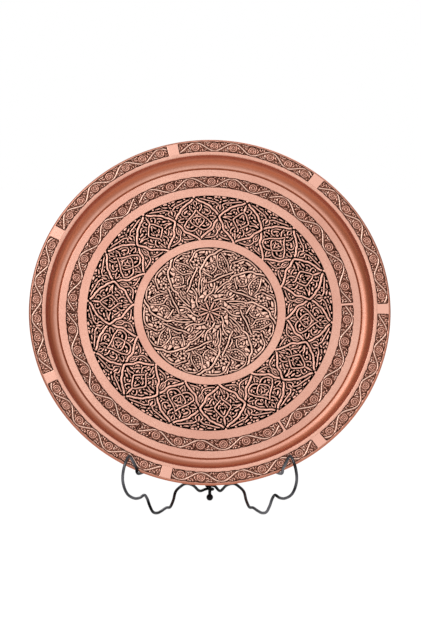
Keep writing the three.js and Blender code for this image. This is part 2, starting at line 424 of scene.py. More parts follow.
def black_enamel():
    """Glossy black on drawn wire, with lighter patches of painted sheen, and painted shade that keeps it
    black near the spindle.
    """
    finish = Finish("black_enamel", 0.9, 0.2)
    drift = finish.noise(50.0, 3.0)
    across = finish.node("ShaderNodeSeparateXYZ", {0: finish.place})["X"]
    near, far = SPINDLE_SHADE_REACH
    # Painted shade near the spindle, where the wires lie under the tray, and painted sheen in lighter
    # patches farther out
    sheen_share = finish.between(finish.math("ABSOLUTE", across), near * MM, far * MM, 0.08)
    painted_sheen = finish.math("MULTIPLY", finish.spread(drift, -0.9, 1.7), sheen_share)
    finish.feed("Base Color", finish.mix(painted_sheen, colour(6, 6, 8), colour(112, 112, 117)))
    finish.feed("Roughness", finish.spread(drift, 0.14, 0.26))
    finish.bump(drift, 0.06 * MM, 0.5)
    return finish.material


def drawn_iron():
    """The plain wire inside the rolled edge."""
    finish = Finish("drawn_iron", 1.0, 0.45)
    streaks = finish.noise(900.0, 2.0)
    finish.feed("Base Color", finish.mix(streaks, colour(120, 116, 112), colour(168, 163, 158)))
    finish.bump(streaks, 0.03 * MM, 0.4)
    return finish.material


COPPER, ENAMEL, IRON = satin_copper(), black_enamel(), drawn_iron()
VINE_EDGES = ((0.16, 0.4), (0.58, 0.8))
# Each gets its blackened ground, its middle tone and the painted highlight colour of its strokes' tops
INNER_COPPER = chased_copper("inner_border_copper", (3, 1, 1), (156, 99, 81), (255, 214, 194),
                             VINE_EDGES)
RIM_COPPER = chased_copper("rim_border_copper", (5, 2, 2), (170, 111, 91), (255, 214, 194),
                           VINE_EDGES)
BAND_COPPER = chased_copper("band_copper", (4, 1, 1), (42, 17, 12), (255, 193, 172),
                            ((0.4, 0.6), (0.52, 0.74)))
ROSETTE_COPPER = chased_copper("rosette_copper", (4, 1, 1), (110, 48, 35), (255, 206, 184),
                               ((0.33, 0.53), (0.48, 0.7)))


# Tray sheet

def arc(centre_x, centre_y, radius, first, last, steps):
    """Points on an arc between two angles in degrees."""
    angles = np.radians(np.linspace(first, last, steps + 1))
    return [(centre_x + radius * math.cos(a), centre_y + radius * math.sin(a)) for a in angles]


def wall_line(behind, steps=28):
    """The wall's cove from floor to rim, steepest under the rim, kept a distance behind its face."""
    knots = np.array(COVE) * (RIM_INNER - WALL_FOOT, WELL_DEPTH) + (WALL_FOOT, 0)
    t = np.linspace(0, 1, steps + 1)[:, None]
    cove = ((1 - t) ** 3 * knots[0] + 3 * t * (1 - t) ** 2 * knots[1]
            + 3 * t * t * (1 - t) * knots[2] + t ** 3 * knots[3])
    lip = [(RIM_INNER + past, share * WELL_DEPTH) for past, share in LIP]
    face = np.vstack([cove, lip])
    slope = np.gradient(face, axis=0)
    slope /= np.linalg.norm(slope, axis=1)[:, None]
    return [tuple(point) for point in face + behind * np.stack([slope[:, 1], -slope[:, 0]], 1)]


def pocket(inner, outer, face):
    """The step down into a plate's pocket and up again, with its edges just broken."""
    floor, shoulder = face - POCKET_DEPTH, face - POCKET_EDGE
    return [(inner - POCKET_EDGE, face), (inner, shoulder), (inner, floor), (outer, floor),
            (outer, shoulder), (outer + POCKET_EDGE, face)]


def tray_profile():
    """The sheet's outline: front face from the middle out, round the rolled edge and back behind."""
    bead = TRAY_RADIUS - BEAD_RADIUS
    bead_height = WELL_DEPTH - BEAD_RADIUS
    front = pocket(0, ROSETTE_RADIUS, 0)[3:]
    front += pocket(BAND_INNER, BAND_OUTER, 0) + pocket(BORDER_INNER, BORDER_OUTER, 0)
    groove = [(GROOVE_RADIUS + GROOVE_WIDTH * (share - 0.5),
               -GROOVE_DEPTH * math.sin(math.pi * share) ** 2) for share in np.linspace(0, 1, 9)]
    wall = wall_line(0)
    front += [(GROOVE_RADIUS - GROOVE_WIDTH, 0)] + groove
    front += [point for point in wall if point[0] > GROOVE_RADIUS + GROOVE_WIDTH]
    front += pocket(RIM_BAND_INNER, RIM_BAND_OUTER, WELL_DEPTH)
    outside = arc(bead, bead_height, BEAD_RADIUS, BEAD_START, 90 - CURL_TURN, 24)
    inside = arc(bead, bead_height, BEAD_RADIUS - SHEET, 90 - CURL_TURN, 90, 18)
    back = wall_line(SHEET)[::-1]
    return [(0, -POCKET_DEPTH)] + front + outside + inside + back + [(0, -SHEET)]


def add_sheet_and_edge_wire():
    """The sheet, and in its rolled edge the wire, a closed ring whose section is drawn as a loop."""
    turn_piece("tray_sheet", tray_profile()[::-1], "tray", "copper", tray_matrix, "tray_body",
               TRAY_SIDES, COPPER)
    section = arc(TRAY_RADIUS - BEAD_RADIUS, WELL_DEPTH - BEAD_RADIUS, EDGE_WIRE_RADIUS, 0, 360, 12)
    turn_piece("edge_wire", section, "tray", "edge_wire", tray_matrix, "rim_edge_wire",
               TRAY_SIDES // 2, IRON)


# Easel

def wing_point(side, out, height, aside=EYE_RADIUS):
    """A place out along a wing from the spindle. side is -1 for the left wing and 1 for the right."""
    place = WING_ALONG * out + WING_SIDE * aside
    return np.array((side * place[0], spindle_foot.y / MM + place[1], height))


def eye_points(side, height):
    """Where the wire's end wraps the spindle."""
    return [wing_point(side, EYE_RADIUS * math.sin(turn), height, EYE_RADIUS * math.cos(turn))
            for turn in -EYE_WRAP * np.linspace(1 / 9, 1, 9)]


def bead_over_wing():
    """How far out along the wing, and how high, the tray's rolled edge crosses it."""
    best = None
    for turn in np.linspace(0, math.pi / 3, 6001):
        local = Vector((TRAY_RADIUS - BEAD_RADIUS) * np.array((math.sin(turn), -math.cos(turn), 0)))
        local.z = WELL_DEPTH - BEAD_RADIUS
        spot = tray_matrix @ (local * MM) / MM
        away = spot - Vector(wing_point(1, 0, spot.z))
        miss = abs(away.dot(Vector(WING_SIDE)))
        if best is None or miss < best[0]:
            best = (miss, away.dot(Vector(WING_ALONG)), spot.z)
    return best[1:]


def back_rest_out(height):
    """How far out the back rest stands at a height, just clear of the tray's flat back."""
    behind = (WIRE_RADIUS + SEAT_CLEARANCE) * MM
    back = floor_centre - tray_out * (SHEET * MM + behind)
    reach = back.y + (height * MM - back.z) * -tray_out.z / tray_out.y
    forward = (spindle_foot.y - reach) / MM
    return (forward + EYE_RADIUS * math.sin(WING_OPENING)) / math.cos(WING_OPENING)


def wing_bends(side, lift):
    """Every bend of a wing's wire: lower eye, foot and guard, cradle, back rest, scroll, upper eye."""
    lower = BALL_MIDDLE + BALL_RADIUS + STEM_HEIGHT + WIRE_RADIUS + lift
    upper = UPPER_EYE_HEIGHT + lift
    bead_out, bead_height = bead_over_wing()
    cradle = arc(bead_out, bead_height, bead_height - SEAT_HEIGHT, 10, -90, 3)
    corner = back_rest_out(SEAT_HEIGHT)
    bend = REST_BEND
    low, high = SEAT_HEIGHT + 2 * bend, BACK_REST_TOP - bend
    heights = [SEAT_HEIGHT + bend, low, (low + high) / 2, high, BACK_REST_TOP]
    rest = [(corner + bend, SEAT_HEIGHT), (corner + bend / 4, SEAT_HEIGHT + bend / 8)]
    rest += [(back_rest_out(height), height) for height in heights]
    scroll = [(out, upper + rise) for out, rise in SCROLL_BENDS]
    start = EYE_RADIUS + WIRE_RADIUS
    flat = [(0, lower), (start, lower), *GUARD_BENDS, *cradle, *rest, *scroll, (start, upper),
            (0, upper)]
    return [*eye_points(side, lower)[::-1], *[wing_point(side, *point) for point in flat],
            *eye_points(side, upper)]


def way_along(points):
    """How far each point of a line is from its start and from its end."""
    along = np.concatenate([[0], np.cumsum(np.linalg.norm(np.diff(points, axis=0), axis=1))])
    return along, along[-1] - along


def smooth_line(points, pitch):
    """Points at an even pitch on the centripetal curve that passes through every given point."""
    points = np.asarray(points, float)
    before, after = 2 * points[0] - points[1], 2 * points[-1] - points[-2]
    knots = np.vstack([before, points, after])
    run = []
    for p0, p1, p2, p3 in zip(knots, knots[1:], knots[2:], knots[3:]):
        strides = [np.linalg.norm(b - a) for a, b in ((p0, p1), (p1, p2), (p2, p3))]
        t1, t2, t3 = np.cumsum([max(math.sqrt(stride), 1e-6) for stride in strides])
        t = np.linspace(t1, t2, max(2, int(strides[1] / pitch) + 1), endpoint=False)[:, None]
        a1 = (t1 - t) / t1 * p0 + t / t1 * p1
        a2 = (t2 - t) / (t2 - t1) * p1 + (t - t1) / (t2 - t1) * p2
        a3 = (t3 - t) / (t3 - t2) * p2 + (t - t2) / (t3 - t2) * p3
        b1 = (t2 - t) / t2 * a1 + t / t2 * a2
        b2 = (t3 - t) / (t3 - t1) * a2 + (t - t1) / (t3 - t1) * a3
        run.append((t2 - t) / (t2 - t1) * b1 + (t - t1) / (t2 - t1) * b2)
    return np.vstack([*run, points[-1:]])


def add_wing(name, side, lift):
    """One bent wire, with its two cut ends a little rounded."""
    line = smooth_line(wing_bends(side, lift), WIRE_PITCH)
    from_end = np.minimum(*way_along(line)) / END_ROUNDING
    start = line_mesh(name + "_line", line)
    square = np.clip(1 - (1 - np.minimum(from_end, 1)) ** 2, END_GIRTH ** 2, 1)
    set_values(start, "girth", np.sqrt(square))
    grow(name + "_wire", start, BENT, name, "black_wire", replaces=[name],
         Radius=WIRE_RADIUS * MM, Sides=WIRE_SIDES, Material=ENAMEL)


def add_spindle_and_balls():
    """The spindle in the bores of its two balls. The upper ball is the lower one upside down."""
    bore = SPINDLE_RADIUS + BORE_CLEARANCE
    mouth = math.degrees(math.acos(bore / BALL_RADIUS))
    flat = -math.degrees(math.acos(BALL_FLAT_RADIUS / BALL_RADIUS))
    bore_floor = BALL_MIDDLE + math.sqrt(BALL_RADIUS ** 2 - bore ** 2) - BORE_DEPTH
    outline = [(0, 0), *arc(0, BALL_MIDDLE, BALL_RADIUS, flat, mouth, 24), (bore, bore_floor),
               (0, bore_floor)]
    eye_pitch = 2 * WIRE_RADIUS + EYE_SPACING
    top = UPPER_EYE_HEIGHT + eye_pitch + WIRE_RADIUS + EYE_SPACING + BALL_RADIUS + BALL_MIDDLE
    foot = bore_floor + BORE_CLEARANCE
    tip, slope = top - foot, SPINDLE_CHAMFER
    rod = [(0, foot), (SPINDLE_RADIUS - slope, foot), (SPINDLE_RADIUS, foot + slope),
           (SPINDLE_RADIUS, tip - slope), (SPINDLE_RADIUS - slope, tip), (0, tip)]
    stand = Matrix.Translation(spindle_foot)
    upside_down = stand @ Matrix.Translation((0, 0, top * MM)) @ Matrix.Rotation(math.pi, 4, "X")
    for name, drawn, matrix in (("spindle", rod, stand), ("foot_ball", outline, stand),
                                ("finial_ball", outline, upside_down)):
        turn_piece(name + "_turned", drawn, "stand", "black_wire", matrix, name, BALL_SIDES, ENAMEL)


# Stage, light and camera

CAMERA_DISTANCE = 2.70
CAMERA_ELEVATION = math.radians(5.68)
CAMERA_LENS = 154.45
CAMERA_DROP, CAMERA_ASIDE = 3.95 * MM, 0.77 * MM
ROOM_LEVEL, LEFT_LEVEL, RIGHT_LEVEL = 0.58, 0.7, 0.45
# How far to the back or to a side a direction points, as a share, where the room's level changes
BACK_BRIGHTENS, SIDES_DARKEN = (-0.2, 0.4), (0.5, 0.9)
# Name, place in metres, power in watts and width in metres
LAMPS = [("key", (-1.0, -1.5, 2.1), 12, 0.9), ("front", (0.3, -1.9, 1.7), 5, 1.8),
         ("fill", (1.7, -1.2, 0.9), 5, 1.2), ("back", (0.6, 1.6, 1.6), 8, 1.2),
         ("low", (-0.1, -2.0, 0.1), 1.2, 0.6)]
FLOOR_REACH = 6000
FLOOR_GLOW, FLOOR_WHITENESS = 1.1, 0.88


def add_camera():
    """The camera looks at a point a little under the floor's middle, from the photograph's height."""
    up = Vector((0, math.sin(CAMERA_ELEVATION), math.cos(CAMERA_ELEVATION)))
    target = floor_centre - up * CAMERA_DROP + tray_right * CAMERA_ASIDE
    away = Vector((0, -math.cos(CAMERA_ELEVATION), math.sin(CAMERA_ELEVATION)))
    data = bpy.data.cameras.new("camera")
    data.lens = CAMERA_LENS
    data.clip_start, data.clip_end = 0.05, 50
    camera = add_object("camera", data)
    camera.location = target + away * CAMERA_DISTANCE
    camera.rotation_euler = (-away).to_track_quat("-Z", "Y").to_euler()
    scene.camera = camera


def add_floor():
    """A pale floor that shows white to the camera and in reflections, and keeps a soft shadow."""
    far = FLOOR_REACH
    corners = [(-far, -far, 0), (far, -far, 0), (far, far, 0), (-far, far, 0)]
    floor = add_object("floor", mesh_of("floor", corners, faces=[(0, 1, 2, 3)]))
    material = bpy.data.materials.new("pale_floor")
    material.use_nodes = True
    material.node_tree.nodes.clear()
    paint = Nodes(material.node_tree)
    plain = paint.node("ShaderNodeBsdfDiffuse", {"Color": (0.8, 0.8, 0.8, 1)})[0]
    white = paint.node("ShaderNodeEmission", {"Color": (1, 1, 1, 1), "Strength": FLOOR_GLOW})[0]
    seen = paint.seen_ray("Is Camera Ray", "Is Glossy Ray", "Is Transmission Ray")
    blend = paint.node("ShaderNodeMixShader", {
        0: paint.math("MULTIPLY", seen, FLOOR_WHITENESS), 1: plain, 2: white
    })[0]
    paint.node("ShaderNodeOutputMaterial", {"Surface": blend})
    floor.data.materials.append(material)


def add_world():
    """A white backdrop behind the object, and a room that is dimmer in front and dark at both sides.

    The camera sees white all round.
    """
    world = bpy.data.worlds.new("room")
    scene.world = world
    world.use_nodes = True
    room = Nodes(world.node_tree)
    way = room.node("ShaderNodeSeparateXYZ", {0: room.node("ShaderNodeTexCoord")["Generated"]})
    level = room.between(way["Y"], *BACK_BRIGHTENS, ROOM_LEVEL)
    for side, side_level in ((-1, LEFT_LEVEL), (1, RIGHT_LEVEL)):
        aside = room.between(way["X"], SIDES_DARKEN[0] * side, SIDES_DARKEN[1] * side, 1.0, side_level)
        level = room.math("MULTIPLY", level, aside)
    level = room.math("MAXIMUM", level, room.seen_ray("Is Camera Ray", "Is Transmission Ray"))
    back = world.node_tree.nodes["Background"]
    back.inputs["Color"].default_value = (1, 1, 1, 1)
    world.node_tree.links.new(level, back.inputs["Strength"])


def add_lights():
    for name, place, power, width in LAMPS:
        data = bpy.data.lights.new(name, "AREA")
        data.shape = "DISK"
        data.size = width
        data.energy = power
        lamp = add_object(name, data)
        lamp.location = place
        lamp.rotation_euler = (floor_centre - Vector(place)).to_track_quat("-Z", "Y").to_euler()


# Chasing

CANVAS_PITCH = 0.2
SHOULDER = 0.45
RELIEF_DEPTH = 0.5
# Ground lower than this height is bare
BARE = 0.5
# How far apart a tool's strokes lie in a strand or hook, and in a leaf
STROKE_PITCH, LEAF_STROKE_PITCH = 0.3, 0.25
# A strand narrows to each end over one part in this many of its length
TAPER_PARTS = 6
# How far from a strand's ends its moat starts to run out
MOAT_RUN_OUT = 1.4
# Small leaves fill bare ground. Each starts this far from the rest, and its line keeps a share of it
LEAF_SPACING, LEAF_NEARNESS = 3.2, 0.7
# A leaf's axis is where there is most room at a distance to both sides. It grows by strides from
# there, each turned by one of a fan of angles in degrees
LEAF_PROBE, LEAF_STRIDE, LEAF_FAN = 0.9, 0.35, (-24, -12, 0, 12, 24)
# It stops where it finds less room than its gap and a margin, and is nowhere thinner than a width
LEAF_MARGIN, LEAF_LEAST_WIDTH = 0.25, 0.6


def toward(angle):
    """Unit steps along angles in radians, clockwise from outwards."""
    return np.stack([np.sin(angle), np.cos(angle)], -1)


def rounded_step(distance):
    """0 to 1 as a distance passes from inside to outside of a rounded edge."""
    rise = np.clip(distance / SHOULDER + 0.5, 0, 1)
    return rise * rise * (3 - 2 * rise)


class Relief:
    """A fine height map of chased metal: 0 where it is cut deepest, 1 at the face of the sheet."""

    def __init__(self, low, high, ground=0.0):
        self.low = np.array(low, float)
        counts = np.ceil((np.array(high) - self.low) / CANVAS_PITCH).astype(int) + 2
        self.height = np.full(counts, float(ground))

    def places(self):
        """Where the map's points are, across and along."""
        across, along = (low + np.arange(count) * CANVAS_PITCH
                         for low, count in zip(self.low, self.height.shape))
        return across[:, None], along[None]

    def polar(self):
        """The map's points round the tray's centre: degrees clockwise from outwards, and radius."""
        across, along = self.places()
        return np.degrees(np.arctan2(across, along)), np.hypot(across, along)

    def window(self, x, y, reach):
        """The part of the map near a place, and how far its points are from it."""
        spot = (np.array((x, y)) - self.low) / CANVAS_PITCH
        first = np.maximum(np.ceil(spot - reach / CANVAS_PITCH), 0).astype(int)
        last = np.minimum(np.floor(spot + reach / CANVAS_PITCH) + 1, self.height.shape).astype(int)
        last = np.maximum(first, last)
        columns, rows = (np.arange(first[axis], last[axis]) - spot[axis] for axis in (0, 1))
        away = np.hypot(columns[:, None], rows[None]) * CANVAS_PITCH
        return self.height[first[0]:last[0], first[1]:last[1]], away

    def press(self, x, y, half_width, top):
        """Leaves a round spot raised."""
        patch, away = self.window(x, y, half_width + SHOULDER)
        np.maximum(patch, top * rounded_step(half_width - away), out=patch)

    def cut(self, x, y, half_width, floor=0.0):
        """Cuts a round spot down to a floor."""
        patch, away = self.window(x, y, half_width + SHOULDER)
        np.minimum(patch, floor + (1 - floor) * rounded_step(away - half_width), out=patch)

    def at(self, x, y):
        """Heights at places between the map's points."""
        column = np.clip((x - self.low[0]) / CANVAS_PITCH, 0, self.height.shape[0] - 1.001)
        row = np.clip((y - self.low[1]) / CANVAS_PITCH, 0, self.height.shape[1] - 1.001)
        i, j = column.astype(int), row.astype(int)
        u, v = column - i, row - j
        near = self.height[i, j] * (1 - v) + self.height[i, j + 1] * v
        far = self.height[i + 1, j] * (1 - v) + self.height[i + 1, j + 1] * v
        return near * (1 - u) + far * u

    def room(self, deepest=2.2):
        """How far each bare point is from the nearest raised one. Every other step also goes aslant."""
        bare = self.height < BARE
        room = np.zeros(bare.shape)
        for step in range(int(deepest / CANVAS_PITCH)):
            room += bare * CANVAS_PITCH
            inner = bare.copy()
            for shift in ((1, 0), (0, 1)) if step % 2 else ((1, 0), (0, 1), (1, 1), (1, -1)):
                inner &= np.roll(bare, shift, (0, 1)) & np.roll(bare, (-shift[0], -shift[1]), (0, 1))
            bare = inner
        return room


class Tool:
    """A chaser's tool that draws in an upright frame, turned clockwise round the tray's centre.

    x is to the right and y outwards. flip -1 draws the same thing as its mirror image. The moat is how
    wide a groove the tool leaves on both sides of a strand, and floor how high the groove's bottom stays.
    The groove runs out where the strand begins and ends.
    """

    def __init__(self, relief, turn=0.0, flip=1, shift=(0, 0), moat=0.5, floor=0.0):
        self.relief = relief
        self.turn = math.radians(turn)
        self.flip = flip
        self.shift = shift
        self.moat = moat
        self.floor = floor

    def place(self, x, y):
        x, y = self.flip * x + self.shift[0], y + self.shift[1]
        return (x * math.cos(self.turn) + y * math.sin(self.turn),
                y * math.cos(self.turn) - x * math.sin(self.turn))

    def run(self, spots, widths, top=1.0):
        placed = np.array([self.place(x, y) for x, y in spots])
        from_end = np.minimum(*way_along(placed)) if len(placed) > 1 else np.array([MOAT_RUN_OUT])
        for (x, y), width, reach in zip(placed, widths, np.clip(from_end / MOAT_RUN_OUT, 0, 1)):
            self.relief.cut(x, y, width / 2 + self.moat * reach, self.floor)
        for (x, y), width in zip(placed, widths):
            self.relief.press(x, y, width / 2, top)

    def line(self, points, width=1.3, ends=(1.0, 1.0), top=1.0):
        """A smooth strand through points. ends gives the width at each end, as a share."""
        spots = smooth_line(points, STROKE_PITCH)
        share = np.linspace(0, 1, len(spots))
        tapers = [np.minimum(end + way * TAPER_PARTS * (1 - end), 1)
                  for end, way in zip(ends, (share, 1 - share))]
        self.run(spots, width * np.prod(tapers, 0), top)

    def sweep(self, x, y, headings, length):
        """Points that set off from a place along headings, clockwise from outwards."""
        step = length / max(1, len(headings) - 1)
        return (x, y) + np.cumsum(toward(np.radians(headings)), 0) * step

    def hook(self, x, y, heading, length, sweep, width=1.2, top=1.0):
        """A tendril that curls by sweep and ends in a bead."""
        share = np.linspace(0, 1, max(4, int(length / STROKE_PITCH)))
        spots = self.sweep(x, y, heading + sweep * share ** 1.5, length)
        self.run(spots, width * (0.7 + 0.8 * share ** 4), top)

    def leaf(self, x, y, heading, length, width=1.8, bend=0.0, top=1.0):
        """A pointed leaf from its foot, widest in its lower half."""
        share = np.linspace(0, 1, max(4, int(length / LEAF_STROKE_PITCH)))
        spots = self.sweep(x, y, heading + bend * share, length)
        body = np.sin(math.pi * np.clip(share * 0.92 + 0.04, 0, 1) ** 0.75)
        self.run(spots, np.maximum(width * body, 0.35), top)

    def dot(self, x, y, size=1.4, top=1.0):
        self.run([(x, y)], [size], top)


def both(relief, turn, draw, moat=0.85):
    """Draws a motif's half and its mirror image."""
    for flip in (1, -1):
        draw(Tool(relief, turn, flip, moat=moat))


def widest_way(room_at, spot, headings, stride):
    """The heading, of those given, along which a stride from a spot keeps the most room round it."""
    ways = toward(headings) * stride + spot
    rooms = room_at(ways)
    best = int(np.argmax(rooms))
    return headings[best], ways[best], rooms[best]


def bare_leaf(room_at, spot, gap, longest):
    """A leaf's line along the middle of bare ground, from a spot with room round it."""
    turns = np.radians(np.arange(0, 180, 15))
    sides = [room_at(spot + sign * toward(turns) * LEAF_PROBE) for sign in (1, -1)]
    axis = turns[int(np.argmax(np.minimum(*sides) + 0.3 * np.maximum(*sides)))]
    line = [spot]
    for heading in (axis, axis + math.pi):
        arm, place = [], spot
        while len(arm) * LEAF_STRIDE < longest / 2:
            fan = heading + np.radians(LEAF_FAN)
            heading, place, left = widest_way(room_at, place, fan, LEAF_STRIDE)
            if left < gap + LEAF_MARGIN:
                break
            arm.append(place)
        line = (line + arm)[::-1]
    return np.array(line)


def fill_ground(relief, region, field, copies, gap, widest, longest, need, passes=3, top=1.0):
    """Lays small leaves along the middle of what ground the strands leave bare.

    Leaves stay in the region and start in the field, and each is drawn by every one of the copies. need
    is the room that a leaf must find where it starts.
    """
    def crowded(line, spacing):
        away = line[:, None] - used[None]
        return len(used) and np.hypot(*away.reshape(-1, 2).T).min() < spacing

    for _ in range(passes):
        room = relief.room() * region

        def room_at(spots):
            index = np.rint((np.atleast_2d(spots) - relief.low) / CANVAS_PITCH).astype(int)
            index = np.clip(index, 0, np.array(room.shape) - 1)
            return room[index[:, 0], index[:, 1]]

        crest = field & (room >= need)
        for shift in ((1, 0), (-1, 0), (0, 1), (0, -1)):
            crest &= room >= np.roll(room, shift, (0, 1))
        found = np.argwhere(crest)
        found = found[np.argsort(-room[crest], kind="stable")]
        used = np.empty((0, 2))
        for index in found:
            spot = relief.low + index * CANVAS_PITCH
            if crowded(spot[None], LEAF_SPACING):
                continue
            line = bare_leaf(room_at, spot, gap, longest)
            if crowded(line, LEAF_SPACING * LEAF_NEARNESS):
                continue
            used = np.vstack([used, line[::3], line[-1:]])
            widths = 2 * np.clip(room_at(line) - gap, 0.3, widest / 2)
            share = np.linspace(-1, 1, len(line))
            body = np.sqrt(np.clip(1.1 - share ** 2, 0.15, 1))
            widths = np.maximum(widths * body, LEAF_LEAST_WIDTH)
            for tool in copies:
                tool.run(line, widths, top)


# Band of medallions

MEDALLIONS = 14
MEDALLION_STEP = 360 / MEDALLIONS
FIRST_MEDALLION = -7.4


def medallion_frame(tool):
    """Half of the ribbon round a medallion. It crosses its neighbour's at the widest point."""
    tool.line([(0, 123.5), (2.6, 119.3), (5.4, 117.1), (8.5, 115.6), (10.4, 114), (12.9, 112.4),
               (15.1, 110.3), (16.6, 107.6), (19.1, 104.9), (20.7, 102.1), (22.3, 98.4), (20.7, 95.9),
               (19.1, 94.3), (16.6, 91.8), (15.5, 89), (13.5, 86.2), (9.8, 84.3), (6, 81.8),
               (2.6, 79.3), (0, 76.6)], 2.0)
    tool.run([(0, 123.2), (0.5, 122.2), (0, 76.2), (0.4, 76.8)], [2.6, 2.2, 2.4, 2.2])


def heart_medallion(tool):
    """Half of the medallion with a heart of crossed strands."""
    tool.line([(0, 118.4), (1.8, 115.8), (0, 112.2)], 1.2)
    tool.leaf(3.8, 91.2, 95, 4.4, 1.8, 40)
    tool.dot(8.9, 93.4, 1.8)
    tool.dot(4.9, 83.7, 1.7)
    tool.leaf(8.2, 112.6, 130, 4.4, 1.8, -20)
    tool.line([(13.4, 100.6), (16, 100.3), (18.8, 98.6), (15, 96.6), (13.6, 97.6)], 1.2)
    tool.leaf(17, 104.2, 200, 3, 1.5)
    tool.leaf(11.6, 87, 80, 3, 1.5, -50)
    tool.line([(9.8, 110.8), (12.8, 109.2), (14.4, 106.6), (14, 104), (10.9, 102.3), (7.6, 103.4)])
    tool.hook(8, 106.6, 150, 4.6, 210, 1.3)
    tool.hook(6, 113.6, 250, 5.6, -215)
    tool.line([(2.8, 86), (2, 83.6), (0, 80.4)])
    tool.line([(0, 102), (5.6, 99.8), (6.9, 96.7), (5, 93.8), (2.6, 91.6), (0, 89.9)], 1.35)
    tool.line([(0, 99.4), (1.6, 97.6), (3.6, 98.5)])
    tool.line([(1.8, 96.2), (0, 92.8)])
    tool.line([(6, 113.7), (5.9, 110.4), (2.4, 105.8), (0.3, 102.6)], 1.35)
    tool.line([(0, 108.4), (3.2, 104), (5.9, 101.4), (10.7, 97), (11.8, 95), (13.6, 92.4), (12.4, 89.4),
               (8.8, 87), (5, 86.6), (1.4, 88.6)], 1.45)


def knot_medallion(tool):
    """Half of the medallion with a diamond of crossed strands."""
    tool.leaf(0, 109.6, 0, 9.4, 2.1)
    tool.dot(3.1, 112, 2.1)
    tool.dot(9.4, 107.3, 2.1)
    tool.leaf(11, 105.4, 108, 5, 2)
    tool.dot(2.8, 88.3, 2.2)
    tool.dot(0, 100.4, 1.5)
    tool.line([(1.8, 86.2), (0.9, 83.4), (0, 80.6)])
    tool.line([(6.8, 110.6), (9, 110.9), (11.6, 109.5), (13.2, 107)], 1.3, (1, 0.6))
    tool.line([(3.2, 107), (5.2, 109), (6.8, 110.8), (7.1, 113), (5.4, 114.8), (3.3, 114.3)])
    tool.line([(10.9, 101.8), (14.6, 101.2), (18.4, 99), (13.4, 99.5), (10.6, 98.5), (8.2, 99.6)], 1.2)
    tool.line([(10, 103), (7.4, 103.4), (5.8, 104.6)], 1.3, (0.6, 1))
    tool.line([(17.4, 96.4), (13, 95), (10.9, 91.9), (8.2, 89.8), (6.4, 89.8)], 1.3, (0.5, 1))
    tool.leaf(12.6, 95.4, 80, 4.2, 1.9)
    tool.leaf(8.4, 96.4, 180, 4.2, 2)
    tool.line([(0.2, 107), (2.4, 102.6)], 1.3, (1, 0.6))
    tool.line([(4.5, 100.7), (3.7, 98.7), (1.4, 97.2), (0, 96.8)])
    tool.line([(0, 97), (2.8, 94), (5.2, 91.4), (6.7, 89.4), (6.9, 87), (5.6, 85)], 1.35)
    tool.line([(0, 110.2), (2.8, 108), (4.9, 105), (7.4, 101.4), (8, 99.6), (5.8, 96.8), (3, 94),
               (0, 91), (0, 88.6)], 1.4)


def outer_corner(tool):
    """Half of the palmette between two medallions and the band's outer edge."""
    tool.leaf(0, 108, 0, 6.4, 1.9)
    tool.dot(0, 119.4, 1.8)
    tool.leaf(1.6, 117.6, 80, 6.4, 1.5, -24)
    tool.leaf(8.6, 119.8, 96, 6, 1.5, -14)
    tool.hook(8.2, 116.2, 150, 4.2, 200, 1.3)
    tool.hook(3.2, 111.4, 60, 5.4, 170, 1.3)
    tool.line([(0, 103.6), (0.9, 106), (3, 108.4), (3.6, 111), (1.8, 112.6)], 1.3, (0.6, 1))
    tool.line([(2, 113.6), (5.4, 115.8), (9.4, 116.4), (14, 117.2), (19, 118.2),
               (22.5, 118.2)], 1.35, (1, 0.4))


def inner_corner(tool):
    """Half of the lancet between two medallions and the band's inner edge."""
    tool.leaf(0, 87.6, 0, 5.2, 1.4)
    tool.leaf(0, 77.6, 0, 4.4)
    tool.hook(0.6, 84, 60, 4.8, -170, 1.3)
    tool.hook(2.2, 81, 50, 5.4, 190, 1.3)
    tool.line([(0, 97), (1.4, 93), (2.2, 89.6), (1.2, 86.8), (0, 85.8)], 1.3, (0.5, 1))
    tool.line([(0, 86), (0.6, 83), (2.2, 80.4), (5.4, 78.8), (9, 78), (13.4, 77.2)], 1.3, (1, 0.4))


def band_relief():
    """A heart medallion upright, a knot medallion to its right, and their neighbours' strokes."""
    relief = Relief((-34, 56), (84, 126))
    hearts, knots, corners = (-2, 0, 2), (-1, 1, 3), (-1.5, -0.5, 0.5, 1.5, 2.5)
    for place in corners:
        both(relief, place * MEDALLION_STEP, outer_corner)
        both(relief, place * MEDALLION_STEP, inner_corner)
    for place in hearts:
        both(relief, place * MEDALLION_STEP, heart_medallion)
    for place in knots:
        both(relief, place * MEDALLION_STEP, knot_medallion)
    for place in hearts + knots:
        both(relief, place * MEDALLION_STEP, medallion_frame, 1.2)

    turn, radius = relief.polar()
    region = (radius > BAND_INNER + 1.2) & (radius < BAND_OUTER - 1.2)
    field = region & (turn > 0.4) & (turn < MEDALLION_STEP - 0.4)
    copies = [Tool(relief, place * MEDALLION_STEP, flip) for place in hearts for flip in (1, -1)]
    fill_ground(relief, region, field, copies, gap=0.9, widest=2.0, longest=6, need=1.35)
    return relief


# Rosette

ROSETTE_GROUND = 0.3
ARMS = 8
ARM_STEP = 360 / ARMS


def flower(tool, x, y, size, petals):
    """Small round petals about a dark eye."""
    middle = np.array((x, y))
    tool.dot(x, y, size * 1.7)
    for petal in range(petals):
        tool.dot(*middle + size * 0.62 * toward(2 * math.pi * petal / petals), size * 0.6)
    tool.relief.cut(*tool.place(x, y), size * 0.24)
    for petal in range(petals):
        between = middle + size * 0.95 * toward(2 * math.pi * (petal + 0.5) / petals)
        tool.relief.cut(*tool.place(*between), 0.22)


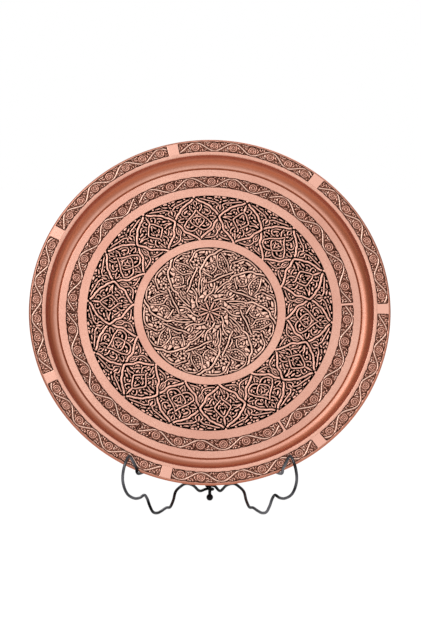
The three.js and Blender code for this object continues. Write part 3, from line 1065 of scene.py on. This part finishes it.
def rosette_leaves(tool):
    """The small leaves and beads of one arm of the whirl, about the flower on its right."""
    tool.hook(56.6, -17.6, 190, 6, 120, 1.6)
    tool.leaf(52.6, -19.8, 130, 4.6, 1.9, 60)
    tool.leaf(60.4, -17.4, 200, 5.6, 2.1)
    tool.dot(57.6, -24.4, 2.2)
    for heading, length in ((250, 5.6), (292, 6), (334, 5), (208, 4.6), (20, 4)):
        tool.leaf(35.4, -20.6, heading, length, 2)
    tool.dot(31.4, -33, 2.2)
    tool.leaf(33.4, -35.4, 20, 5, 1.7)
    tool.leaf(29.6, -30, 60, 4.6, 1.7, 40)
    tool.leaf(19.4, -50.4, 78, 8.6, 2.1, 40)
    tool.leaf(21, -56, 60, 6, 2.1, 60)
    tool.hook(26, -55.6, 70, 6, 150, 1.5)
    tool.leaf(44.4, -40, 140, 5, 2)
    tool.leaf(49, -33.4, 200, 4.6, 2)
    tool.dot(46.6, -36.6, 1.8)
    tool.leaf(16.6, -22, 200, 4.6)
    tool.dot(19, -23.6, 1.9)
    tool.leaf(25, -17, 130, 8, 1.9, 20)
    tool.leaf(23.6, -11.6, 120, 7.4, 1.9)
    tool.leaf(19.6, -10.6, 150, 5.4)
    tool.leaf(3.4, -23.6, 165, 5.4)
    tool.leaf(2, -30.6, 200, 5, 1.8, 30)
    tool.hook(10.6, -33.6, 190, 5, 130, 1.4)
    tool.leaf(26.6, -22.6, 150, 6, 1.7)
    tool.leaf(17, -35.6, 190, 4.6, 1.7)
    tool.dot(26.4, -30, 1.7)


def rosette_lattice(tool):
    """The knot of small crossed strands in each arm."""
    for column in range(3):
        for row in range(3):
            tool.dot(22 + 3.4 * column + 0.5 * row, -42.4 - 3.1 * row + 0.9 * column, 2)
    for step in range(4):
        reach = 2.2 * step
        tool.line([(35.6 + reach, -4.6 - 0.4 * reach), (38.4 + reach, -9.4 - 0.4 * reach)], 0.85)
        tool.line([(34.6, -5.2 - reach), (43.4, -2.6 - reach)], 0.85)


def rosette_strands(tool):
    """The strands that tie one arm to the next."""
    tool.line([(28.6, -24.6), (31.6, -24), (35.6, -24.2)], 1.3, (0.5, 1))
    tool.line([(27.4, -27.6), (26.4, -32), (27.4, -36.4), (30.6, -39.4), (33.4, -38.6)])
    tool.line([(16.4, -39), (21, -40), (26.4, -39), (31, -41.6), (35.4, -45.4)])
    tool.line([(20.6, -45.4), (24.6, -49.6), (29.4, -52), (33, -50.4), (34.4, -47)])
    tool.line([(9.4, -44.6), (6.6, -49.6), (4.6, -54.6), (4.2, -60.2)], 1.35)
    tool.line([(10.4, -44.4), (14.6, -49), (17, -54.6), (15.6, -60.4)], 1.35)
    tool.line([(15.6, -60.4), (21, -62.4), (28, -60.2), (34.4, -55.6), (38, -52)])
    tool.line([(11.2, -17), (11.4, -22.6), (12.6, -27.6), (14.6, -31.4)], 1.35)
    tool.line([(22, -16.4), (22.6, -21.4), (21.6, -26.6), (22.4, -31.4), (19.8, -36.4)], 1.35)
    tool.line([(16.4, -17), (20.6, -18.4), (22, -22.6)])
    tool.line([(8.6, -20), (7.8, -25.6), (8.6, -30.6), (6.6, -35)])
    tool.line([(19.6, -5), (24.6, -9), (28.6, -13.4), (31.6, -17.6)], 1.35)
    tool.line([(55, -7.6), (60.4, -8.4), (63.3, -13.4), (63.3, -18.6), (62.4, -23.4), (58.4, -28.2)])
    tool.line([(41, -19.4), (46, -18.7), (51.2, -17.9), (56.3, -15.3), (60.9, -12.2)], 1.35)
    tool.line([(51, -24), (54.4, -28.4), (57.4, -33)])
    tool.line([(42, -20.4), (47.1, -20.9), (51.2, -23.5), (52.6, -28), (54.6, -33.2), (53.4, -38.4),
               (49.4, -43.4), (44.6, -47.6), (40.6, -49.6)], 1.35)


def rosette_stems(tool):
    """The long stems that turn out from the star and cross on their way to the edge."""
    tool.line([(16.9, -30.6), (15.4, -35.4), (12.6, -39.6), (10, -44), (6, -49.4), (1, -55.4)], 1.5)
    tool.line([(-2, -36.4), (4, -40), (9.6, -44.4), (14.6, -48.6), (18.4, -53)], 1.5)
    tool.line([(39.2, -29.4), (43, -31.6), (46.4, -33.4), (43.6, -37.4), (41.6, -40)], 1.35)
    tool.line([(33.4, -20.4), (36.4, -22.4), (38, -25), (39.2, -29.4), (41.4, -36.2), (41.7, -42.6),
               (39.6, -46.4), (39, -51.5), (37.6, -55.4)], 1.8)
    tool.line([(11.6, -4.6), (13.4, -10.4), (13, -16.6), (15.4, -22), (18.6, -26), (17, -30.4)], 1.5)
    tool.line([(30.6, 1.6), (32.9, -4.6), (35.9, -9.7), (38, -14.8), (39.5, -18.9), (41, -23),
               (43, -24.8)], 1.5)


def star(tool):
    """One petal of the star in the middle, with the leaves and the thin bar that lie beside it."""
    tool.leaf(-3, 14.2, 98, 6.4, 1.5)
    tool.leaf(0, 1.4, 0, 12, 1.9, 0, 0.85)
    tool.leaf(5.4, 9.6, 30, 5, 1.5, 20)
    tool.line([(2.4, 5.6), (4.4, 12.6)], 1.0, (0.6, 1), 0.7)


def rosette_relief():
    relief = Relief((-4, -4), (72, 72), ROSETTE_GROUND)
    for layer, moat, floor, turn in ((star, 0.6, 0, 22.5), (rosette_leaves, 0.7, 0.15, 0),
                                     (rosette_lattice, 0.5, 0.1, 0), (rosette_strands, 1.0, 0, 0),
                                     (rosette_stems, 1.5, 0, 0)):
        for arm in range(ARMS):
            layer(Tool(relief, arm * ARM_STEP + turn, moat=moat, floor=floor))
    for arm in range(ARMS):
        flower(Tool(relief, arm * ARM_STEP, moat=0.5), 46.1, -26.8, 4.4, 6)
    Tool(relief).dot(0, 0, 2.0, 0.8)
    turn, radius = relief.polar()
    region = (radius < ROSETTE_RADIUS - 1.2) & (radius > 10)
    field = region & (abs(turn - ARM_STEP) < ARM_STEP / 2)
    copies = [Tool(relief, arm * ARM_STEP, floor=ROSETTE_GROUND) for arm in range(ARMS)]
    fill_ground(relief, region, field, copies, gap=0.6, widest=2.3, longest=8, need=1.1)
    relief.height *= rounded_step(ROSETTE_RADIUS - 0.8 - radius)
    return relief


# Vine borders

# Where the panels of a border meet, clockwise from the top in degrees, and the plain width between them
BORDER_JOINS = [(26.1, 0.5), (86.8, 2.4), (148.9, 2.4), (210.5, 0.5), (269.9, 0.5), (327.8, 0.5)]
RIM_JOINS = [(-12.4, 11.4), (38.4, 12), (90, 10.6), (141.6, 10.8), (194.3, 11), (245.9, 10.6),
             (297.5, 12)]
ROUNDEL_RING = 1.75
VINE_WIDTH, VINE_INSET = 1.4, 1.1
# The branch in a bend of the vine, by shares of the bend's length and of the border's half width
BRANCH = [(0.4, 0.16), (0.3, -0.5), (0.14, -0.84), (0, -0.9), (-0.2, -0.84), (-0.36, -0.62),
          (-0.42, -0.8)]
HATCH_PITCH, HATCH_SLANT = 1.6, 0.6
# A border's drawing ends inside its outline, which is rounded at the corners and a little wavy
BORDER_OUTLINE, BORDER_CORNER = 0.75, 0.9
RIPPLE, RIPPLE_LENGTH = 0.25, 10.5


def roundel(tool, x, y, size):
    """A coiled leaf: a broad disc with rings and an eye."""
    tool.dot(x, y, 2 * size, 0.62)
    patch, away = tool.relief.window(*tool.place(x, y), size)
    rings = 0.5 + 0.5 * np.cos(2 * math.pi * away / ROUNDEL_RING)
    inside = rounded_step(size - 0.3 - away)
    patch += inside * (0.05 + 0.9 * rings - patch)


def vine_bay(tool, side, pitch, reach):
    """What one bend of the vine holds: a coiled leaf, the branch that closes round it, small leaves."""
    roundel(tool, 0, -side * 0.3, reach * 0.74)
    for hand in (-1, 1):
        tool.leaf(hand * pitch * 0.44, -side * reach * 0.3, hand * 90 - side * hand * 60, 3.4, 1.2)
        tool.leaf(hand * pitch * 0.3, side * reach * 0.42, 90 + hand * 60, 2.2, 1)
        tool.dot(hand * pitch * 0.5, -side * reach * 0.76, 1.6)
    tool.leaf(-pitch * 0.32, side * 0.6, 160, 3.6, 1.5)
    tool.line([(along * pitch, side * out * reach) for along, out in BRANCH], 1.05, (1, 1.6))


def border_relief(width, wave, hatch_level):
    """One wave of a vine border, unrolled: x along it and y outwards from its middle."""
    margin = 6
    reach = width / 2
    relief = Relief((-margin, -reach), (wave + margin, reach))
    for bay in range(-2, 5):
        vine_bay(Tool(relief, shift=((bay + 0.5) * wave / 2, 0), moat=0.7), 1 if bay % 2 == 0 else -1,
                 wave / 2, reach)
    along = np.arange(-margin, wave + margin, 0.25)
    sway = (reach - VINE_INSET) * np.sin(2 * math.pi * along / wave)
    Tool(relief, moat=0.9).run(list(zip(along, sway)), np.full(len(along), VINE_WIDTH))
    x, y = relief.places()
    region = np.broadcast_to(abs(y) < reach - 0.6, relief.height.shape)
    field = region & (x >= 0) & (x < wave)
    copies = [Tool(relief, shift=(shift, 0), moat=0.55) for shift in (-wave, 0, wave)]
    fill_ground(relief, region, field, copies, gap=0.6, widest=1.2, longest=4, need=0.8, passes=2,
                top=0.85)
    hatch = 0.5 + 0.5 * np.cos(2 * math.pi * (x + HATCH_SLANT * y) / HATCH_PITCH)
    bare = relief.room() > 0.25
    np.maximum(relief.height, bare * hatch_level * hatch, out=relief.height)
    return relief


def border_heights(relief, radii, turns, joins, waves, lead):
    """Heights round a border whose panels all start alike. turns are degrees clockwise from the top."""
    middle = (radii[0] + radii[-1]) / 2
    wave = math.radians(360 / len(joins)) * middle / waves
    starts, gaps = np.array([*joins, (joins[0][0] + 360, joins[0][1])]).T
    turns = (turns - starts[0]) % 360 + starts[0]
    panel = np.clip(np.searchsorted(starts, turns, side="right") - 1, 0, len(joins) - 1)
    from_start = np.radians(turns - starts[panel]) * middle
    to_end = np.radians(starts[panel + 1] - turns) * middle
    share = (turns - starts[panel]) / (starts[panel + 1] - starts[panel])
    along = (share - lead) * waves % 1 * wave
    drawn = np.array([relief.at(along, np.full(len(turns), radius - middle)) for radius in radii])
    inset = np.minimum(from_start - gaps[panel] / 2, to_end - gaps[panel + 1] / 2)[None]
    ripple = RIPPLE * (1 + np.sin(from_start * 2 * math.pi / RIPPLE_LENGTH))[None]
    edge = np.minimum(radii - radii[0], radii[-1] - radii)[:, None] - ripple
    nearest = np.minimum(inset, edge)
    in_corner = np.maximum(inset, edge) < BORDER_CORNER
    to_corner = np.hypot(np.maximum(BORDER_CORNER - inset, 0), np.maximum(BORDER_CORNER - edge, 0))
    inside = np.where(in_corner, BORDER_CORNER - to_corner, nearest)
    drawn *= rounded_step(inside - BORDER_OUTLINE)
    return np.maximum(drawn, PLAIN_HEIGHT * rounded_step(-inside))


# Plates

BAND_PITCH, ROSETTE_PITCH, BORDER_PITCH = 0.32, 0.34, 0.36
# How many columns a tile has. The rosette's are halved inside a radius, and again at half of it
BAND_COLUMNS, ROSETTE_COLUMNS = 300, 160
THINNING_RADIUS, MOST_HALVINGS = 34, 5
ROSETTE_EYE, ROSETTE_FIRST_ROW = 0.06, 0.4


def tile_rows(inner, outer, pitch):
    """Radii at an even pitch from one edge of a plate to the other."""
    return np.linspace(inner, outer, int(round((outer - inner) / pitch)) + 1)


def tile_mesh(name, radii, heights, angle, level):
    """A closed tile of chased plate, open only on the two rays where it joins its neighbours.

    heights gives a row of values for each radius, as long as the next row out or half as long. With the
    mesh come the points of its first ray and their relief.
    """
    points, relief, rows, faces = [], [], [], []

    def add_row(radius, rises, values):
        turns = np.linspace(0, angle, len(rises))
        rows.append(np.arange(len(points), len(points) + len(rises)))
        points.extend((radius * math.cos(turn), radius * math.sin(turn), rise)
                      for turn, rise in zip(turns, rises))
        relief.extend(values)

    for radius, row in zip(radii, heights):
        add_row(radius, level - RELIEF_DEPTH * (1 - row), row)
    for near, far in zip(rows, rows[1:]):
        if len(near) == len(far):
            faces += zip(near, far, far[1:], near[1:])
            continue
        for first, last, left, middle, right in zip(near, near[1:], far[::2], far[1::2], far[2::2]):
            faces += [(first, left, middle), (first, middle, last), (last, middle, right)]
    top = rows[:]
    for end in (0, -1):
        flat = np.zeros(len(heights[end]))
        add_row(radii[end], flat + level - PLATE_THICKNESS, flat)
    inner, outer = rows[-2:]
    faces += zip(top[-1], outer, outer[1:], top[-1][1:])
    faces += zip(inner, top[0], top[0][1:], inner[1:])
    ratio = (len(outer) - 1) // (len(inner) - 1)
    for i in range(len(inner) - 1):
        faces.append((inner[i + 1], *outer[i * ratio:(i + 1) * ratio + 1][::-1], inner[i]))
    mesh = mesh_of(name, points, faces)
    set_values(mesh, "relief", relief)
    ray = [inner[0], *[row[0] for row in top], outer[0]]
    return mesh, [points[i] for i in ray], [relief[i] for i in ray]


def cap_object(name, outline, relief, flipped):
    """The end face of a row of tiles, from the outline of a tile's first ray."""
    order = tuple(range(len(outline)))
    mesh = mesh_of(name, outline, [order if flipped else order[::-1]])
    set_values(mesh, "relief", relief)
    return add_object(name, mesh)


def polar_heights(relief, radii, columns, angle, first):
    """Heights for a tile's rows from a drawn sector that starts at an angle, in radians from +X."""
    rows = []
    for radius, count in zip(radii, columns):
        turns = first + np.linspace(0, angle, count + 1)
        row = relief.at(radius * np.cos(turns), radius * np.sin(turns))
        row[-1] = row[0]
        rows.append(row)
    return rows


def add_plates(name, radii, heights, level, first, angle, groups, material):
    """Stamps a tile round the tray. groups says how many tiles each piece holds."""
    mesh, outline, relief = tile_mesh(name + "_tile", radii, heights, angle, level)
    caps = [cap_object(name + "_cap", outline, relief, flipped) for flipped in (False, True)]
    ends = {"Start_cap": caps[0], "End_cap": caps[1]} if len(groups) > 1 else {}
    done = 0
    for number, count in enumerate(groups, 1):
        label = f"{name}_{number}" if ends else name
        grow(label, mesh, STAMPED, "tray", "copper", matrix=tray_matrix, Count=count,
             First=first + done * angle, Step=angle, Material=material, **ends)
        done += count
    for cap in caps:
        bpy.data.objects.remove(cap)


def add_band():
    """The band of medallions, as tiles that each hold one pair."""
    radii = tile_rows(BAND_INNER + PLATE_GAP, BAND_OUTER - PLATE_GAP, BAND_PITCH)
    angle = math.radians(2 * MEDALLION_STEP)
    first = math.radians(90 - 1.5 * MEDALLION_STEP)
    heights = polar_heights(band_relief(), radii, [BAND_COLUMNS] * len(radii), angle, first)
    add_plates("medallion_band", radii, heights, 0, first - math.radians(FIRST_MEDALLION), angle,
               (2, 2, 2, 1), BAND_COPPER)


def add_rosette():
    """The rosette, as tiles that each hold one arm. Its rows thin out towards the middle."""
    rows = tile_rows(ROSETTE_FIRST_ROW, ROSETTE_RADIUS - PLATE_GAP, ROSETTE_PITCH)
    radii = np.array([ROSETTE_EYE, *rows])
    halvings = np.clip(np.floor(np.log2(THINNING_RADIUS / radii)), 0, MOST_HALVINGS)
    columns = ROSETTE_COLUMNS >> halvings.astype(int)
    angle = math.radians(ARM_STEP)
    heights = polar_heights(rosette_relief(), radii, columns, angle, angle / 2)
    add_plates("rosette", radii, heights, 0, angle / 2, angle, (3, 3, 2), ROSETTE_COPPER)


def add_border(name, inner, outer, level, joins, material, waves, lead, hatch_level, columns):
    """A vine border in one ring. waves is how many a panel holds, and lead where in it one starts."""
    radii = tile_rows(inner + PLATE_GAP, outer - PLATE_GAP, BORDER_PITCH)
    wave = math.pi * (inner + outer) / len(joins) / waves
    relief = border_relief(outer - inner, wave, hatch_level)
    turns = 90 - np.linspace(0, 360, columns + 1)
    heights = border_heights(relief, radii, turns, joins, waves, lead)
    heights[:, -1] = heights[:, 0]
    add_plates(name, radii, heights, level, 0.0, 2 * math.pi, (1,), material)


# Pieces

add_camera()
add_floor()
add_world()
add_lights()
add_sheet_and_edge_wire()
add_rosette()
add_band()
add_border("inner_border", BORDER_INNER, BORDER_OUTER, 0, BORDER_JOINS, INNER_COPPER,
           waves=3.28, lead=0.032, hatch_level=0.42, columns=2600)
add_border("rim_border", RIM_BAND_INNER, RIM_BAND_OUTER, WELL_DEPTH, RIM_JOINS, RIM_COPPER,
           waves=3.94, lead=0.085, hatch_level=0.5, columns=2900)
add_wing("left_wing", -1, 0)
add_wing("right_wing", 1, 2 * WIRE_RADIUS + EYE_SPACING)
add_spindle_and_balls()

scene.view_settings.view_transform = "Standard"
